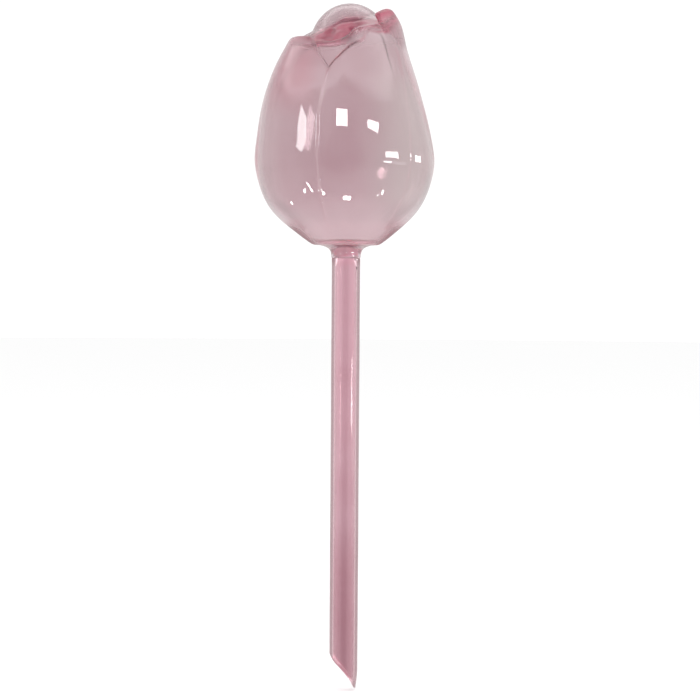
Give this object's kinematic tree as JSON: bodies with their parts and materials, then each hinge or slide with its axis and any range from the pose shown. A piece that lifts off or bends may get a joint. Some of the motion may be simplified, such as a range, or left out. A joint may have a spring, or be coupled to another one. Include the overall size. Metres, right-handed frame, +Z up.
{
  "type": "watering globe",
  "caption": "Clear pink tulip-shaped watering globe: a closed hollow flower bulb that pushes onto a slant-cut feeding stem through a soft neck grommet.",
  "frame": {"origin": "on the stem's axis at the stem's shoulder, where the bulb's neck lands", "axes": "+Z up along the stem's axis to the top of the flower, the stem hangs along -Z, the front of the flower faces -Y, and the slant cut's point is on the +X side"},
  "size_m": [0.0634, 0.0629, 0.24],
  "materials": {
    "bulb_plastic": "clear gloss, pink tint",
    "stem_plastic": "clear gloss, deeper pink tint",
    "grommet_rubber": "soft translucent pink, satin"
  },
  "bodies": {
    "stem": {"stem_tube": "stem_plastic"},
    "grommet": {"neck_grommet": "grommet_rubber"},
    "bulb": {"tulip_bulb": "bulb_plastic"}
  },
  "joints": [
    {"name": "bulb_pull", "type": "slide", "parent": "stem", "child": "grommet", "axis": [0, 0, 1], "range_m": [0, 0.03]},
    {"name": "bulb_twist", "type": "hinge", "parent": "grommet", "child": "bulb", "pos_m": [0, 0, 0.003], "axis": [0, 0, 1], "continuous": true}
  ]
}
